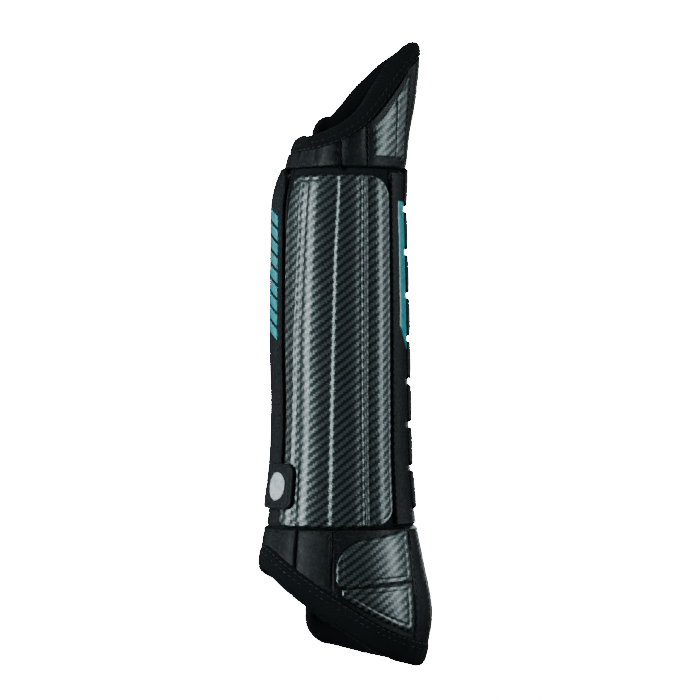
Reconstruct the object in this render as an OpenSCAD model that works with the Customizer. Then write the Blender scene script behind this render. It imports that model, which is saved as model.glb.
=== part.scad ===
// Tall tendon boot for a horse's hind leg, closed as if on the leg.
// Z runs up the leg. +X is the tendon side at the back, -X the front, -Y the inner side of the
// leg and +Y the outer side, where the boot closes. Angles run from +X towards +Y.
// Depths count outwards from the outer face of the liner.

/* [Rims] */
// Height of the peak of the top rim, at the back
back_h = 360; // [320:1:420]
// How far the top rim drops towards the front
top_drop = 58; // [20:1:80]
// How far the bottom rim rises towards the front, on the inner side
bottom_rise = 57; // [30:1:70]
// How far it would rise on the outer side
outer_rise = 32; // [20:1:60]
// Width of the rolled top binding
top_binding_w = 10.5; // [7:0.5:14]
// Width of the rolled bottom binding
bottom_binding_w = 15; // [9:0.5:18]

/* [Girth] */
// Scale of the boot's girth round the leg
girth = 1; // [0.8:0.01:1.25]
// Thickness of the foam liner
liner_t = 4; // [2.5:0.5:6]

/* [Covers] */
// Height of the front guard, from the bottom binding to the strike plate
guard_h = 4.8; // [3:0.1:20]
// Height of the collar at the front, from the strike plate to the top binding
collar_h = 10.5; // [8:0.5:30]
// Thickness of the moulded strike plate at its flutes
plate_t = 3.4; // [2.6:0.1:4.5]
// Depth of the grooves between its flutes
groove_d = 0.9; // [0.4:0.1:1.3]
// Thickness of the padded leather-look covers
cover_t = 1.9; // [1.2:0.1:2.8]
// Thickness of the raised fetlock pads
pad_t = 2.2; // [1:0.1:3]
// Number of flexible blocks down the tendon
block_n = 8; // [5:1:9]
// Gap between two blocks
block_gap = 2.8; // [1:0.1:6]
// Thickness of a block
block_t = 1.5; // [0.8:0.1:2.4]

/* [Closure] */
// How far the closing flap starts above the foot of the strike plate
flap_foot = 10; // [6:1:20]
// How far its top passes the top of the strike plate
flap_over = 5; // [-20:1:6]
// Angle of its free edge
flap_edge = 198; // [194:1:205]
// Thickness of the flap
flap_t = 1.5; // [1:0.1:2]
// Width of one elastic strap
strap_w = 32; // [20:1:40]
// Thickness of the elastic
strap_t = 1.4; // [0.8:0.1:2]
// Thickness of the hook tape and of the loop tape
tape_t = 0.5; // [0.3:0.1:0.8]

/* [Hidden] */

// Gap between layers that are sewn to each other
sewn_gap = 0.2;
// Gap between pieces that move past each other
moving_gap = 0.35;
// Gap between the edges of two covers, in degrees round the leg
edge_gap = 0.7;
// Gap between the edges of two covers, up the leg
seam_gap = 0.6;
// Angle between two columns of points round the leg
step = 6;

// Angles at which the panels end, round the leg
wing_hinge = 60;
wing_start = wing_hinge + 0.2;
wing_plate_end = 86;
closure_hinge = 93;
wing_end = 108;
shell_start = 110;
flap_hinge = 150;
plate_start = flap_edge + 1.5;
guard_seam = 219;
heel_seam = 322.4;
plate_end = 307;
tendon_start = 309;
tendon_end = 360 + 38;
shell_end = 360 + wing_hinge - 1.4;
// Angle that the tape on the two front edges takes up
tape_a = 9.6;
cover_start = shell_start + tape_a;
wing_cover_end = wing_end - tape_a;

// Outer size of the boot at even steps up the leg: front, side and back
form = [
    [52, 40.5, 51],
    [51, 41, 56],
    [48.5, 40.2, 50.8],
    [44, 38.2, 44.8],
    [40.2, 37.2, 42],
    [39.2, 37, 41.2],
    [40, 37, 40.6],
    [40, 37, 40],
    [39.6, 37, 39],
    [38.4, 36.5, 38.5],
    [28.6, 35.5, 40.9],
    [24, 34, 46.4],
    [20, 33, 48.9],
    [18, 32, 49.5]];
form_step = back_h / 12;

// The liner's outer face lies this far inside the outer size
skin_in = plate_t + sewn_gap;

function eased(a, b, c, d, t) =
    b + t / 2 * (c - a + t * (2 * a - 5 * b + 4 * c - d + t * (3 * (b - c) + d - a)));

function form_row(i) = form[max(0, min(len(form) - 1, i))];

// Outer size in column k at height z, on a smooth curve through the even steps
function size_at(z, k) =
    let (s = max(0, min(len(form) - 1.001, z / form_step)), i = floor(s))
    girth * eased(form_row(i - 1)[k], form_row(i)[k], form_row(i + 1)[k], form_row(i + 2)[k], s - i);

// Distance from the leg's axis to the liner's outer face
function reach(a, z) =
    let (along = size_at(z, cos(a) < 0 ? 0 : 2), across = size_at(z, 1))
    1 / sqrt(pow(cos(a) / along, 2) + pow(sin(a) / across, 2)) - skin_in;

function at(a, z, d) =
    let (r = reach(a, z) + d)
    [r * cos(a), r * sin(a), z];

// Length of one degree round the leg
function degree(a, z) = reach(a, z) * PI / 180;

// The top rim is a saddle with a soft point at the back. It falls faster on the inner side,
// and on the outer side it dips a little at the front corner.
top_dip = 2.5;
function outer_share(a) =
    let (s = sqrt(pow(sin(a / 2), 2) + 0.004) - 0.06)
    (pow(1 - s * s, 2.3) + pow(1 - s, 1.1)) / 2;
function inner_share(a) = mixed(outer_share(180), 1, exp(-pow((360 - a) / 75, 2.4)));
function top_share(a) = a > 180 && a < 360 ? inner_share(a) : outer_share(a);
function top_rim(a) =
    back_h - top_drop + top_drop * top_share(a) - top_dip * exp(-pow((a - 101) / 25, 2));

// The bottom rim rises to the front. Past the front, on the outer side, it dips less.
front_dip = 0.22;
function bottom_share(a) = (1 - sqrt(pow(cos(a / 2), 2) + 0.012)) / (1 - sqrt(0.012)) + 0.007;
function bottom_rim(a) =
    a > wing_end && a < 180 ? bottom_rise * bottom_share(180) - front_dip * (180 - a)
        : (sin(a) > 0 ? outer_rise : bottom_rise) * bottom_share(a);

// The binding lies square to the steep top rim, so the rim over its lower edge is a little
// further round the leg.
function top_slope(a) = (top_rim(a + 1) - top_rim(a - 1)) / (2 * degree(a, top_rim(a)));
function top_shift(a) =
    let (m = top_slope(a)) top_binding_w * m / sqrt(1 + m * m) / degree(a, top_rim(a));
function top_binding_low(a) =
    let (b = a - top_shift(a - top_shift(a)))
    top_rim(b) - top_binding_w / sqrt(1 + pow(top_slope(b), 2));

// An upright cut through the bottom binding is longer than one square to its rim
function bottom_binding_h(a) =
    let (m = (bottom_rim(a + 1) - bottom_rim(a - 1)) / (2 * degree(a, back_h / 2)))
    bottom_binding_w * sqrt(1 + m * m);

// Height taken off a corner of radius r, at arc length s from the side edge
function corner(s, r) = s < r ? r - sqrt(r * r - (r - s) * (r - s)) : 0;
function arc(a, edge) = abs(a - edge) * PI / 180 * 38 * girth;

// The lines that the liner and the covers stop at. They run level round the rounded front
// corners of the bindings, and their own corners are rounded off.
edge_corner = 1.2;
function held(a, shell_mid, wing_mid) = a > wing_end ? max(a, shell_mid) : min(a, wing_mid);
function held_high(a) = held(a, high_mid(shell_start, -1), high_mid(wing_end, 1));
function held_low(a) = held(a, low_mid(shell_start, -1), low_mid(wing_end, 1));
function front_corner(a) =
    corner(min(arc(a, cover_start), arc(a, wing_cover_end)), edge_corner);
function under_top(a) =
    let (h = held_high(a)) top_binding_low(h) - seam_gap - front_corner(a);
function over_bottom(a) =
    let (h = held_low(a)) bottom_rim(h) + bottom_binding_h(h) + seam_gap + front_corner(a);

// Lines that part the covers
plate_lo = bottom_rise + 1.35 * bottom_binding_w + guard_h;
plate_hi = back_h - top_drop - top_binding_w - collar_h;
flap_lo = plate_lo + flap_foot;
flap_hi = plate_hi + flap_over;
function plate_top(a) =
    plate_hi - corner(arc(a, plate_start), 12) - corner(arc(a, plate_end), 16);
function plate_bottom(a) =
    plate_lo + corner(arc(a, plate_start), 5) + corner(arc(a, plate_end), 14);
collar_base = plate_hi + 3.6;
panel_top = collar_base - seam_gap;
guard_top = plate_lo - seam_gap;

// One closed layer between two lines up the leg, from angle a0 to a1.
// inner is a depth, outer(a) a depth that may change round the leg.
module layer(a0, a1, lo, hi, inner, outer, rows = 20, step = step) {
    n = max(1, ceil((a1 - a0) / step - 0.01));
    cols = [for (i = [0:n]) a0 + (a1 - a0) * i / n];
    h = rows + 1;
    m = (n + 1) * h;
    points = [
        for (a = cols, j = [0:rows]) at(a, lo(a) + (hi(a) - lo(a)) * j / rows, inner),
        for (a = cols, j = [0:rows]) at(a, lo(a) + (hi(a) - lo(a)) * j / rows, outer(a))];
    faces = [
        for (i = [0:n - 1], j = [0:rows - 1]) let (k = i * h + j) each [
            [k, k + 1, k + h],
            [k + 1, k + h + 1, k + h],
            [m + k, m + k + h, m + k + 1],
            [m + k + 1, m + k + h, m + k + h + 1]],
        for (j = [0:rows - 1]) let (k = n * h + j) each [
            [j, m + j, j + 1],
            [j + 1, m + j, m + j + 1],
            [k, k + 1, m + k],
            [k + 1, m + k + 1, m + k]],
        for (i = [0:n - 1]) let (k = i * h, t = i * h + rows) each [
            [k, k + h, m + k],
            [k + h, m + k + h, m + k],
            [t, m + t, t + h],
            [t + h, m + t, m + t + h]]];
    polyhedron(points, faces);
}

function flat(d) = function(a) d;
function level(z) = function(a) z;

// Depths of the layers' faces
base_d = sewn_gap;
cover_d = base_d + cover_t;
plate_d = base_d + plate_t;
panel_t = 0.7;
panel_d = base_d + panel_t;
loop_d = panel_d + sewn_gap + tape_t;
strap_in = cover_d + moving_gap;
strap_out = strap_in + strap_t;
hook_in = loop_d + moving_gap;
hook_out = hook_in + tape_t;
flap_in = hook_out + sewn_gap;
flap_out = flap_in + flap_t;
print_t = 0.4;

// An edging is an oval section carried along the edge of the boot, with the boot on its left.
// A path's entries are [angle, height, section], and a section is
// [width, inner depth, outer depth, how far the rim leans in].
proud = 0.5;
top_section = [top_binding_w, -liner_t - 1, cover_d + 0.8, 1.2];
bottom_section = [bottom_binding_w, -liner_t - 1.2, cover_d + 1, 0.8];
function tape_section(a, z) =
    [(tape_a - edge_gap) * degree(a, z), -liner_t - proud, cover_d, 0];

module edging(path, sides = 10) {
    n = len(path) - 1;
    points = [
        for (i = [0:n])
            let (p = path[max(0, i - 1)], q = path[min(n, i + 1)], e = path[i], c = e[2],
                deg = degree(e[0], e[1]),
                s = (q[0] - p[0]) * deg, z = q[1] - p[1], l = sqrt(s * s + z * z))
            for (k = [0:sides - 1])
                let (u = 360 * k / sides, across = c[0] * (1 - cos(u)) / 2)
                at(e[0] - z / l * across / deg, e[1] + s / l * across,
                    (c[1] + c[2]) / 2 + (c[2] - c[1]) / 2 * sin(u) - c[3] * (1 + cos(u)) / 2)];
    faces = [
        for (i = [0:n - 1], k = [0:sides - 1])
            let (p = i * sides + k, q = i * sides + (k + 1) % sides)
            each [[p, q, p + sides], [q, q + sides, p + sides]],
        [for (k = [sides - 1:-1:0]) k],
        [for (k = [0:sides - 1]) n * sides + k]];
    polyhedron(points, faces);
}

// Rounded corners where the rims meet the two front edges
low_r = bottom_binding_w + 1;
high_r = top_binding_w + 1.5;
function mixed(a, b, t) = a + (b - a) * t;
function angles(from, to) =
    let (n = ceil(abs(to - from) / step)) [for (i = [0:n]) mixed(from, to, i / n)];
function low_mid(edge, side) = edge - side * low_r / degree(edge, bottom_rise);
function high_mid(edge, side) = edge - side * high_r / degree(edge, plate_hi);
function low_corner_z(edge, side) = bottom_rim(low_mid(edge, side)) + low_r;
function high_corner_z(edge, side) = top_rim(high_mid(edge, side)) - high_r;

// u runs from 0 on the rim to 90 on the front edge; side is 1 on the wing, -1 on the shell
function low_corner(edge, side, u) =
    let (a = low_mid(edge, side), z = low_corner_z(edge, side))
    [mixed(a, edge, sin(u)), z - low_r * cos(u),
        mixed(bottom_section, tape_section(edge, z), pow(u / 90, 3))];
function high_corner(edge, side, u) =
    let (a = high_mid(edge, side), z = high_corner_z(edge, side))
    [mixed(a, edge, sin(u)), z + high_r * cos(u),
        mixed(top_section, tape_section(edge, z), pow(u / 90, 3))];
function edge_run(edge, side) =
    let (lo = low_corner_z(edge, side) + seam_gap, hi = high_corner_z(edge, side) - seam_gap)
    [for (i = [0:16]) let (z = mixed(lo, hi, i / 16)) [edge, z, tape_section(edge, z)]];
function reversed(list) = [for (i = [len(list) - 1:-1:0]) list[i]];

over_bottom_line = function(a) over_bottom(a);
under_top_line = function(a) under_top(a);

module liner() {
    color("#1c1f22") layer(cover_start, shell_end, over_bottom_line, under_top_line,
        -liner_t, flat(0), 28);
}

module top_binding() {
    color("#15181b") edging([
        for (a = angles(shell_end, high_mid(shell_start, -1))) [a, top_rim(a), top_section],
        for (u = [15:15:90]) high_corner(shell_start, -1, u)]);
}

module bottom_binding() {
    color("#15181b") edging([
        for (u = [90:-15:15]) low_corner(shell_start, -1, u),
        for (a = angles(low_mid(shell_start, -1), shell_end)) [a, bottom_rim(a), bottom_section]]);
}

module front_edge_tape() {
    color("#15181b") edging(reversed(edge_run(shell_start, -1)), 8);
}

// Grooves between the upright flutes of the strike plate
grooves = [216, 251, 277, 283.5];

function groove(a) = max([for (g = grooves) max(0, 1 - abs(a - g) / 2.6)]);

module strike_plate() {
    color("#24282b") layer(plate_start + 0.3, plate_end, function(a) plate_bottom(a),
        function(a) plate_top(a), base_d, function(a) plate_d - groove_d * groove(a), 20, 3);
}

module collar() {
    color("#101214") layer(cover_start, shell_end, level(collar_base),
        under_top_line, base_d, flat(cover_d), 3);
}

patch_start = 288;
patch_end = 328;

module collar_patch() {
    color("#24282b") layer(patch_start, patch_end,
        level(collar_base + 6),
        function(a) max(collar_base + 7, under_top(a) - 4), cover_d + sewn_gap,
        flat(cover_d + sewn_gap + 0.8), 3);
}

module front_guard() {
    color("#1a1d20") layer(cover_start, guard_seam - edge_gap, over_bottom_line,
        level(guard_top), base_d, flat(cover_d), 3);
}

module fetlock_guard() {
    color("#1a1d20") layer(guard_seam, heel_seam - edge_gap, over_bottom_line,
        level(guard_top), base_d, flat(cover_d), 5);
}

module heel_guard() {
    color("#1a1d20") layer(heel_seam, shell_end, over_bottom_line,
        level(guard_top), base_d, flat(cover_d), 5);
}

// The raised pads over the inside of the fetlock
pad_in = cover_d + sewn_gap;
pad_start = 252;
pad_end = 320.5;
pad_split = 50;
pad_slope = 0.04;

// The seam between the pads climbs towards the back, and the lower pad tapers along the binding
function pad_seam(a) = pad_split + pad_slope * (a - pad_start);

module fetlock_pad_upper() {
    color("#24282b") layer(pad_start, pad_end,
        function(a) pad_seam(a) - 2 + corner(arc(a, pad_start), 6),
        function(a) guard_top - 9 + 0.12 * (a - pad_start) - corner(arc(a, pad_start), 14),
        pad_in, flat(pad_in + pad_t), 5);
}

module fetlock_pad_lower() {
    color("#24282b") layer(pad_start + 5, pad_end,
        function(a) over_bottom(a) + 1,
        function(a) pad_seam(a) - 2 - seam_gap, pad_in, flat(pad_in + pad_t - 0.4), 3);
}

module tendon_strip() {
    color("#181b1e") layer(tendon_start, tendon_end - edge_gap, level(plate_lo),
        level(panel_top), base_d, flat(cover_d));
}

// The blocks stand at an even pitch up the strip
block_in = cover_d + sewn_gap;
block_span = 23;
block_lo = plate_lo + 9;
block_pitch = (plate_hi + 8 - block_lo) / block_n;

module tendon_blocks() {
    color("#1d2023") for (i = [0:block_n - 1]) {
        z = block_lo + i * block_pitch;
        layer(360 - block_span, 360 + block_span, level(z), level(z + block_pitch - block_gap),
            block_in, flat(block_in + block_t), 2);
    }
}

// The stripe runs beside the blocks and ends in a slanted tail
stripe_start = 321;
stripe_end = 336;

module tendon_stripe() {
    color("#2bb3c0") layer(stripe_start, stripe_end,
        function(a) plate_hi - 99 + 0.9 * (stripe_end - a), level(plate_hi - 14),
        cover_d + sewn_gap, flat(cover_d + sewn_gap + print_t), 6);
}

module flex_panel() {
    color("#1a1d20") layer(tendon_end, shell_end, level(plate_lo),
        level(panel_top), base_d, flat(cover_d));
}

module front_edge_panel() {
    color("#1a1d20") layer(cover_start, flap_hinge - edge_gap, level(plate_lo),
        level(panel_top), base_d, flat(cover_d));
}

module front_panel() {
    color("#181b1e") layer(flap_hinge, plate_start - edge_gap, level(plate_lo),
        level(panel_top), base_d, flat(panel_d));
}

module front_loop_field() {
    color("#121416") layer(flap_hinge + 3, flap_edge - 3, level(flap_lo + 4),
        level(flap_hi - 4), panel_d + sewn_gap, flat(loop_d));
}

module wing_liner() {
    color("#1c1f22") layer(wing_start, wing_cover_end, over_bottom_line, under_top_line,
        -liner_t, flat(0), 28);
}

module wing_top_binding() {
    color("#15181b") edging([
        for (u = [90:-15:15]) high_corner(wing_end, 1, u),
        for (a = angles(high_mid(wing_end, 1), wing_start)) [a, top_rim(a), top_section]]);
}

module wing_bottom_binding() {
    color("#15181b") edging([
        for (a = angles(wing_start, low_mid(wing_end, 1))) [a, bottom_rim(a), bottom_section],
        for (u = [15:15:90]) low_corner(wing_end, 1, u)]);
}

module wing_edge_tape() {
    color("#15181b") edging(edge_run(wing_end, 1), 8);
}

module wing_plate() {
    color("#24282b") layer(wing_start + 4, wing_plate_end,
        function(a) plate_lo + corner(arc(a, wing_start + 4), 6) + corner(arc(a, wing_plate_end), 6),
        function(a) plate_hi - corner(arc(a, wing_start + 4), 6) - corner(arc(a, wing_plate_end), 6),
        base_d, flat(plate_d), 20, 4);
}

module wing_collar() {
    color("#101214") layer(wing_start, wing_cover_end, level(collar_base),
        under_top_line, base_d, flat(cover_d), 4);
}

module wing_guard() {
    color("#1a1d20") layer(wing_start, wing_cover_end, over_bottom_line,
        level(guard_top), base_d, flat(cover_d), 5);
}

module wing_closing_panel() {
    color("#1a1d20") layer(wing_plate_end + edge_gap, wing_cover_end, level(plate_lo),
        level(panel_top), base_d, flat(cover_d));
}

// The straps are shared out evenly over the flap's height
strap_n = 4;
strap_pitch = (flap_hi - flap_lo + 6) / strap_n;

function strap_lo(i) = flap_lo - 3 + strap_pitch * (i + 0.5) - strap_w / 2;

module strap_anchors() {
    color("#0e1012") for (i = [0:strap_n - 1])
        layer(wing_plate_end + 1.5, closure_hinge - edge_gap / 2, level(strap_lo(i)),
            level(strap_lo(i) + strap_w), cover_d + sewn_gap, flat(strap_out), 3);
}

module strap(i) {
    color("#0e1012") layer(closure_hinge + edge_gap / 2, flap_hinge - 3, level(strap_lo(i)),
        level(strap_lo(i) + strap_w), strap_in, flat(strap_out), 3);
}

module strap_1() strap(0);

module strap_2() strap(1);

module strap_3() strap(2);

module strap_4() strap(3);

module closing_flap() {
    color("#202427") layer(flap_hinge, flap_edge,
        function(a) flap_lo + corner(arc(a, flap_edge), 9),
        function(a) flap_hi - corner(arc(a, flap_edge), 12),
        flap_in, flat(flap_out), 20, 5);
}

module flap_hook_strip() {
    color("#121416") layer(flap_hinge + 6, flap_edge - 5, level(flap_lo + 7),
        level(flap_hi - 12), hook_in, flat(hook_out));
}

// Slanted bars that fill the upper half of the flap's front
bar_n = 9;
bar_pitch = 8;

module flap_stripes() {
    color("#2bb3c0") for (i = [0:bar_n - 1]) {
        lo = function(a) flap_hi - 20 - (i + 1) * bar_pitch - 0.35 * (a - 176);
        layer(176, 194, lo, function(a) lo(a) + bar_pitch * 0.75, flap_out + sewn_gap / 2,
            flat(flap_out + sewn_gap / 2 + print_t), 1);
    }
}

// A tab is sewn on the flap's lower end, and reaches over the plate's corner. It bears the badge.
tab_start = flap_edge - 16;
tab_end = flap_edge + 17;
tab_h = 26;
tab_in = flap_out + sewn_gap;
tab_out = tab_in + 1;

module flap_tab() {
    color("#202427") layer(tab_start, tab_end,
        function(a) flap_lo + corner(arc(a, tab_end), 5) + corner(arc(a, tab_start), 5),
        function(a) flap_lo + tab_h - corner(arc(a, tab_end), 5) - corner(arc(a, tab_start), 5),
        tab_in, flat(tab_out), 3, 3);
}

badge_mid = flap_edge + 1;
badge_half = 9;

function badge_rise(a) = 0.4 + 7.5 * sqrt(max(0, 1 - pow((a - badge_mid) / badge_half, 2)));

module flap_badge() {
    color("#d8dcdf") layer(badge_mid - badge_half, badge_mid + badge_half,
        function(a) flap_lo + tab_h / 2 - badge_rise(a),
        function(a) flap_lo + tab_h / 2 + badge_rise(a),
        tab_out + sewn_gap / 2, flat(tab_out + sewn_gap / 2 + print_t), 1, 2);
}

liner();
top_binding();
bottom_binding();
front_edge_tape();
strike_plate();
collar();
collar_patch();
front_guard();
fetlock_guard();
heel_guard();
fetlock_pad_upper();
fetlock_pad_lower();
tendon_strip();
tendon_blocks();
tendon_stripe();
flex_panel();
front_edge_panel();
front_panel();
front_loop_field();
wing_liner();
wing_top_binding();
wing_bottom_binding();
wing_edge_tape();
wing_plate();
wing_collar();
wing_guard();
wing_closing_panel();
strap_anchors();
strap_1();
strap_2();
strap_3();
strap_4();
closing_flap();
flap_hook_strip();
flap_stripes();
flap_tab();
flap_badge();
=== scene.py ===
# %% [markdown]
# # A tall tendon boot
# A tendon boot is a sleeve of foam and cloth that closes round a horse's lower leg. On the
# workbench it is cut flat, sewn, and only then bent round a last, so this lesson works the same
# way: each piece starts as a flat pattern, gets its thickness, and is laid round the leg.
# The hard facts, such as the hinge lines and the bodies, follow the imported model; here they
# are given as numbers and names, and the model's own pieces are hidden where new ones stand in.

# %% Load the frame
import bpy
import numpy as np
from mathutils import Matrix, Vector


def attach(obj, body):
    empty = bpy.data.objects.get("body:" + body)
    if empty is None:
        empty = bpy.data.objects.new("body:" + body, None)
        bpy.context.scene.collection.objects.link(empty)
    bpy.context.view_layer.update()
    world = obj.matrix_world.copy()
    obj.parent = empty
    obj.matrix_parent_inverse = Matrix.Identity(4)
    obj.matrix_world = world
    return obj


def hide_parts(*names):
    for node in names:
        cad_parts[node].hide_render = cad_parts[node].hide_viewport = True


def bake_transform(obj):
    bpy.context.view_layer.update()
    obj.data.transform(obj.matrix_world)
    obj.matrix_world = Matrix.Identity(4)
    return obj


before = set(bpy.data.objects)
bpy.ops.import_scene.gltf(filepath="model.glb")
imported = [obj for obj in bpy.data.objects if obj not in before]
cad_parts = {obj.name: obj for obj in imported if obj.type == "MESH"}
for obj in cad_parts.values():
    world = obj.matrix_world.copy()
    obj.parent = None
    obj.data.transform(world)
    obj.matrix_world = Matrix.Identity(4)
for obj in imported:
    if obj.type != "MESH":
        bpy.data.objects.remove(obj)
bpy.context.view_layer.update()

# %% [markdown]
# ## The last
# The last is the shape of the leg's covering: two half ovals, back and front, whose sizes change
# up the leg. Angles run round the leg from the back (+X) towards the outer side (+Y), heights
# run up it, and a depth is counted outwards from the liner's outer face. All are in degrees and
# millimetres, and the last step turns them into metres.

# %% The last's shape
MM = 0.001
FORM_STEP = 30.0
FORM = np.array([
    [52, 40.5, 51], [51, 41, 56], [48.5, 40.2, 50.8], [44, 38.2, 44.8], [40.2, 37.2, 42],
    [39.2, 37, 41.2], [40, 37, 40.6], [40, 37, 40], [39.6, 37, 39], [38.4, 36.5, 38.5],
    [28.6, 35.5, 40.9], [24, 34, 46.4], [20, 33, 48.9], [18, 32, 49.5]])
SKIN_IN = 3.6
FRONT, SIDE, BACK = 0, 1, 2


def size_at(z, column):
    """The last's size at height z, on a smooth curve through the even steps."""
    last = len(FORM) - 1
    step = np.clip(np.asarray(z, float) / FORM_STEP, 0, last - 0.001)
    i = np.floor(step).astype(int)
    t = step - i
    a, b, c, d = (FORM[np.clip(i + k, 0, last), column] for k in (-1, 0, 1, 2))
    return b + t / 2 * (c - a + t * (2 * a - 5 * b + 4 * c - d + t * (3 * (b - c) + d - a)))


def reach(angle, z):
    """Distance from the leg's axis to the liner's outer face."""
    turn = np.radians(angle)
    along = np.where(np.cos(turn) < 0, size_at(z, FRONT), size_at(z, BACK))
    across = size_at(z, SIDE)
    return 1 / np.sqrt((np.cos(turn) / along) ** 2 + (np.sin(turn) / across) ** 2) - SKIN_IN


def place(angle, z, depth):
    """The point, in metres, at an angle, a height and a depth."""
    turn = np.radians(angle)
    r = reach(angle, z) + depth
    return np.stack(np.broadcast_arrays(r * np.cos(turn), r * np.sin(turn), z), -1) * MM


print("the boot is", round(float(reach(180, 150) + reach(0, 150)), 1), "mm deep at its middle")

# %% [markdown]
# ## Lines on the last
# The rims are saddles: high at the tendon, cut low in front at the top, and the other way at the
# bottom. Every panel stops at a line that follows from them and from the bindings' widths.

# %% Rims and panel lines
DEGREE_MM = 38 * np.pi / 180
BACK_H, TOP_DROP, TOP_DIP = 360.0, 58.0, 2.5
BOTTOM_RISE, OUTER_RISE, FRONT_DIP = 57.0, 32.0, 0.22
TOP_W, BOTTOM_W = 10.5, 15.0
LINER_T, COVER_D, SEWN = 4.0, 2.1, 0.2
WING_END, SHELL_START = 108.0, 110.0
SHELL_SIDES, WING_SIDES = (117.8, 412.2), (52.5, 100.0)
PLATE_LO = BOTTOM_RISE + 1.35 * BOTTOM_W + 4.8
PLATE_HI = BACK_H - TOP_DROP - TOP_W - 10.5
FLAP_LO, FLAP_HI = PLATE_LO + 10, PLATE_HI + 5
COLLAR_BASE = PLATE_HI + 3.6
GUARD_TOP = PLATE_LO - 0.6
FLAP_EDGE = 198.0
PLATE_START, PLATE_END = FLAP_EDGE + 1.5, 307.0


def outer_share(a):
    s = np.sqrt(np.sin(np.radians(a) / 2) ** 2 + 0.004) - 0.06
    return ((1 - s * s) ** 2.3 + (1 - s) ** 1.1) / 2


def top_rim(a):
    a = np.asarray(a, float)
    low = outer_share(180.0)
    inner = low + (1 - low) * np.exp(-(np.abs(360 - a) / 75) ** 2.4)
    share = np.where((a > 180) & (a < 360), inner, outer_share(a))
    dip = TOP_DIP * np.exp(-((a - 101) / 25) ** 2)
    return BACK_H - TOP_DROP + TOP_DROP * share - dip


def bottom_share(a):
    soft = 0.012
    return (1 - np.sqrt(np.cos(np.radians(a) / 2) ** 2 + soft)) / (1 - soft ** 0.5) + 0.007


def bottom_rim(a):
    a = np.asarray(a, float)
    rise = np.where(np.sin(np.radians(a)) > 0, OUTER_RISE, BOTTOM_RISE)
    front = BOTTOM_RISE * bottom_share(180) - FRONT_DIP * (180 - a)
    return np.where((a > WING_END) & (a < 180), front, rise * bottom_share(a))


def degree(a, z):
    """Millimetres in one degree round the leg."""
    return reach(a, z) * np.pi / 180


def top_slope(a):
    return (top_rim(a + 1) - top_rim(a - 1)) / (2 * degree(a, top_rim(a)))


def top_shift(a):
    """How far round the leg the binding's lower edge lies from the rim it hangs square to."""
    m = top_slope(a)
    return TOP_W * m / np.sqrt(1 + m * m) / degree(a, top_rim(a))


def steep(a):
    """How much longer an upright cut through the bottom binding is than a square one."""
    return np.sqrt(1 + ((bottom_rim(a + 1) - bottom_rim(a - 1)) / (2 * degree(a, 180.0))) ** 2)


def held(a, radius, z):
    """The angle at which a line stays level round the bindings' rounded front corners."""
    turn = radius / degree(np.array([SHELL_START, WING_END]), z)
    a = np.asarray(a, float)
    return np.where(a > WING_END, np.maximum(a, SHELL_START + turn[0]),
                    np.minimum(a, WING_END - turn[1]))


def under_top(a):
    h = held(a, TOP_W + 1.5, PLATE_HI)
    above = held(h - top_shift(h - top_shift(h)), TOP_W + 1.5, PLATE_HI)
    return top_rim(above) - TOP_W / np.sqrt(1 + top_slope(above) ** 2) + 1.2


def over_bottom(a):
    h = held(a, BOTTOM_W + 1, BOTTOM_RISE)
    return bottom_rim(h) + BOTTOM_W * steep(h) - 1.5


def level(z):
    return lambda a: np.full_like(np.asarray(a, float), z)


PANEL_LO, PANEL_HI = level(PLATE_LO), level(COLLAR_BASE - 0.6)


def corner(s, r):
    """Height taken off a rounded corner of radius r, at a distance s from the side edge."""
    s = np.clip(s, 0, r)
    return r - np.sqrt(r * r - (r - s) ** 2)


def arc(a, edge):
    return np.abs(np.asarray(a, float) - edge) * DEGREE_MM


def rounded_box(a0, a1, z0, z1, low, top):
    """Lower and upper lines of a panel; low and top hold the corners' radii at a0 and a1."""
    return (lambda a: z0 + corner(arc(a, a0), low[0]) + corner(arc(a, a1), low[1]),
            lambda a: z1 - corner(arc(a, a0), top[0]) - corner(arc(a, a1), top[1]))


print("strike plate from", round(PLATE_LO, 1), "to", round(PLATE_HI, 1), "mm up the leg")

# %% [markdown]
# ## Cutting a pattern and laying it
# A panel is cut flat from a grid, so that its weave can be laid square to the leg as a cutter
# would. Solidify gives the flat piece its thickness. Laying it then moves each point to its
# angle, its height and its depth: the outer face follows a relief, and the inner face lies on
# the layer below. The flat sizes stay in the UV map, in metres, for the materials.

# %% Helpers for flat patterns
def clean_start():
    if bpy.context.object and bpy.context.object.mode != "OBJECT":
        bpy.ops.object.mode_set(mode="OBJECT")
    bpy.ops.object.select_all(action="DESELECT")


def read_points(piece):
    points = np.empty(len(piece.data.vertices) * 3)
    piece.data.vertices.foreach_get("co", points)
    return points.reshape(-1, 3)


def write_points(piece, points):
    piece.data.vertices.foreach_set("co", np.ascontiguousarray(points, float).ravel())
    piece.data.update()


def edit(piece, *steps):
    """Runs edit-mode steps on all of a piece."""
    clean_start()
    bpy.context.view_layer.objects.active = piece
    piece.select_set(True)
    bpy.ops.object.mode_set(mode="EDIT")
    bpy.ops.mesh.select_all(action="SELECT")
    for step in steps:
        step()
    bpy.ops.object.mode_set(mode="OBJECT")


def apply_modifier(piece, kind, **settings):
    clean_start()
    bpy.context.view_layer.objects.active = piece
    piece.select_set(True)
    modifier = piece.modifiers.new(kind.lower(), kind)
    for key, value in settings.items():
        setattr(modifier, key, value)
    bpy.ops.object.modifier_apply(modifier=modifier.name)


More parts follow.
